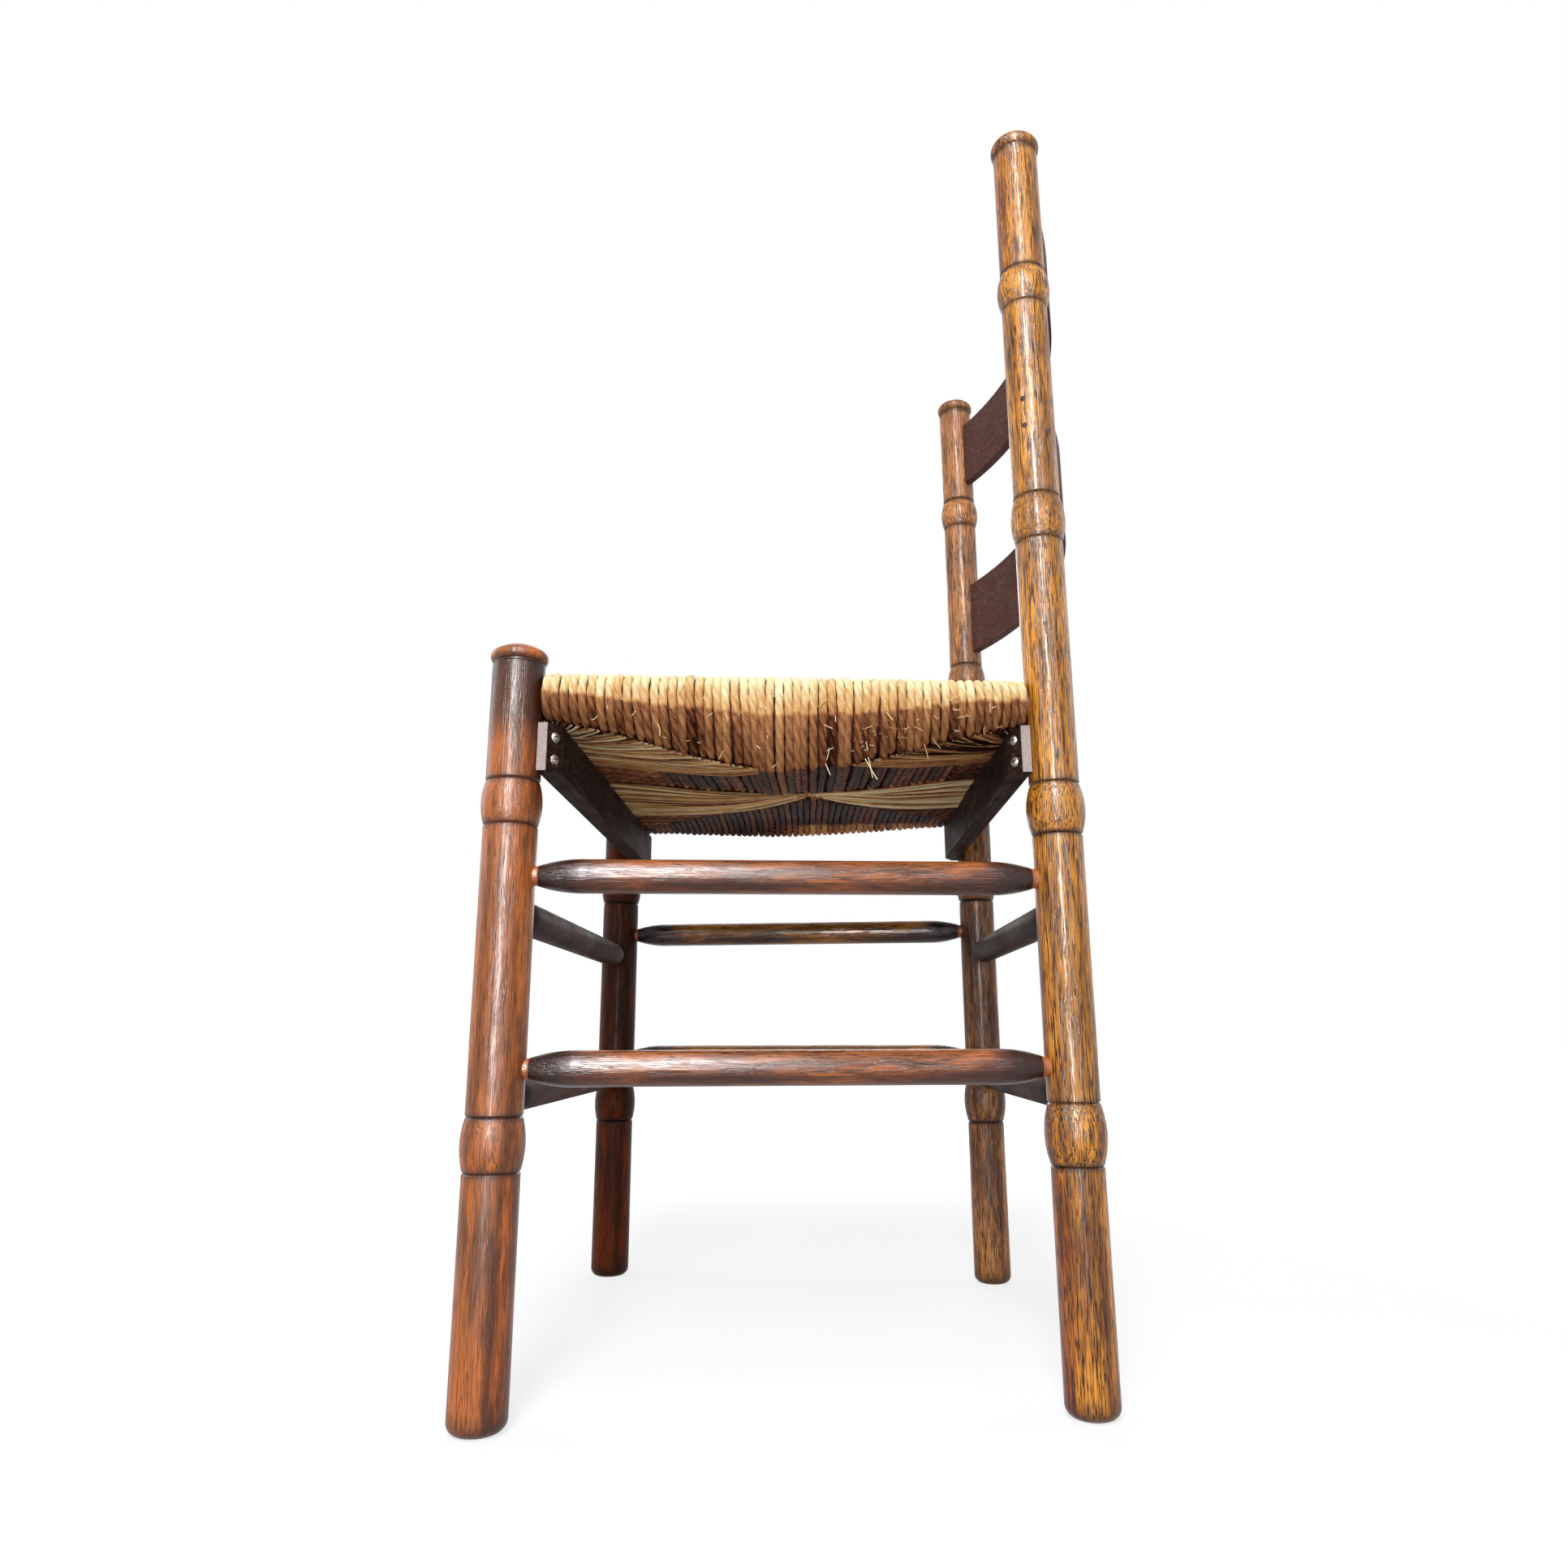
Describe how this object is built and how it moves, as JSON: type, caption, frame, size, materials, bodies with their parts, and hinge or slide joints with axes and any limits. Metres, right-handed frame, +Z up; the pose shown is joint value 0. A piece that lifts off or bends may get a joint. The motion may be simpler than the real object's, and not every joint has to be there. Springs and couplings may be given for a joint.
{
  "type": "ladderback chair",
  "caption": "Turned oak ladderback chair with bead-ringed posts, round rungs, bowed back slats and a woven rush seat over screwed under-seat boards.",
  "frame": {"origin": "on the floor, in the middle of the chair's outer box", "axes": "+Z up, +X to the sitter's left, -Y out of the seat's front"},
  "size_m": [0.4536, 0.429, 0.8976],
  "materials": {
    "oak_post": "stained and varnished oak, glossy, dark open grain",
    "oak_rung": "stained and varnished oak, glossy",
    "dark_slat": "dark stained wood, dull",
    "dark_board": "dark stained wood, satin",
    "bare_rail": "bare wood",
    "rush": "twisted rush cord, straw at the top and brown below",
    "stuffing": "dry rush offcuts",
    "steel_screw": "dull steel",
    "dark_nail": "darkened steel"
  },
  "bodies": {
    "root": {"back_apron": "dark_board", "back_lower_rung": "oak_rung", "back_seat_rail": "bare_rail", "back_upper_rung": "oak_rung", "front_apron": "dark_board", "front_lower_rung": "oak_rung", "front_seat_rail": "bare_rail", "front_upper_rung": "oak_rung", "left_back_lower_screw": "steel_screw", "left_back_post": "oak_post", "left_back_upper_screw": "steel_screw", "left_front_lower_screw": "steel_screw", "left_front_post": "oak_post", "left_front_upper_screw": "steel_screw", "left_lower_rung": "oak_rung", "left_seat_rail": "bare_rail", "left_slat_lower_nail": "dark_nail", "left_slat_upper_nail": "dark_nail", "left_upper_rung": "oak_rung", "lower_slat": "dark_slat", "right_back_lower_screw": "steel_screw", "right_back_post": "oak_post", "right_back_upper_screw": "steel_screw", "right_front_lower_screw": "steel_screw", "right_front_post": "oak_post", "right_front_upper_screw": "steel_screw", "right_lower_rung": "oak_rung", "right_seat_rail": "bare_rail", "right_slat_lower_nail": "dark_nail", "right_slat_upper_nail": "dark_nail", "right_upper_rung": "oak_rung", "rush_seat": "rush", "seat_stuffing": "stuffing", "upper_slat": "dark_slat"}
  },
  "joints": []
}
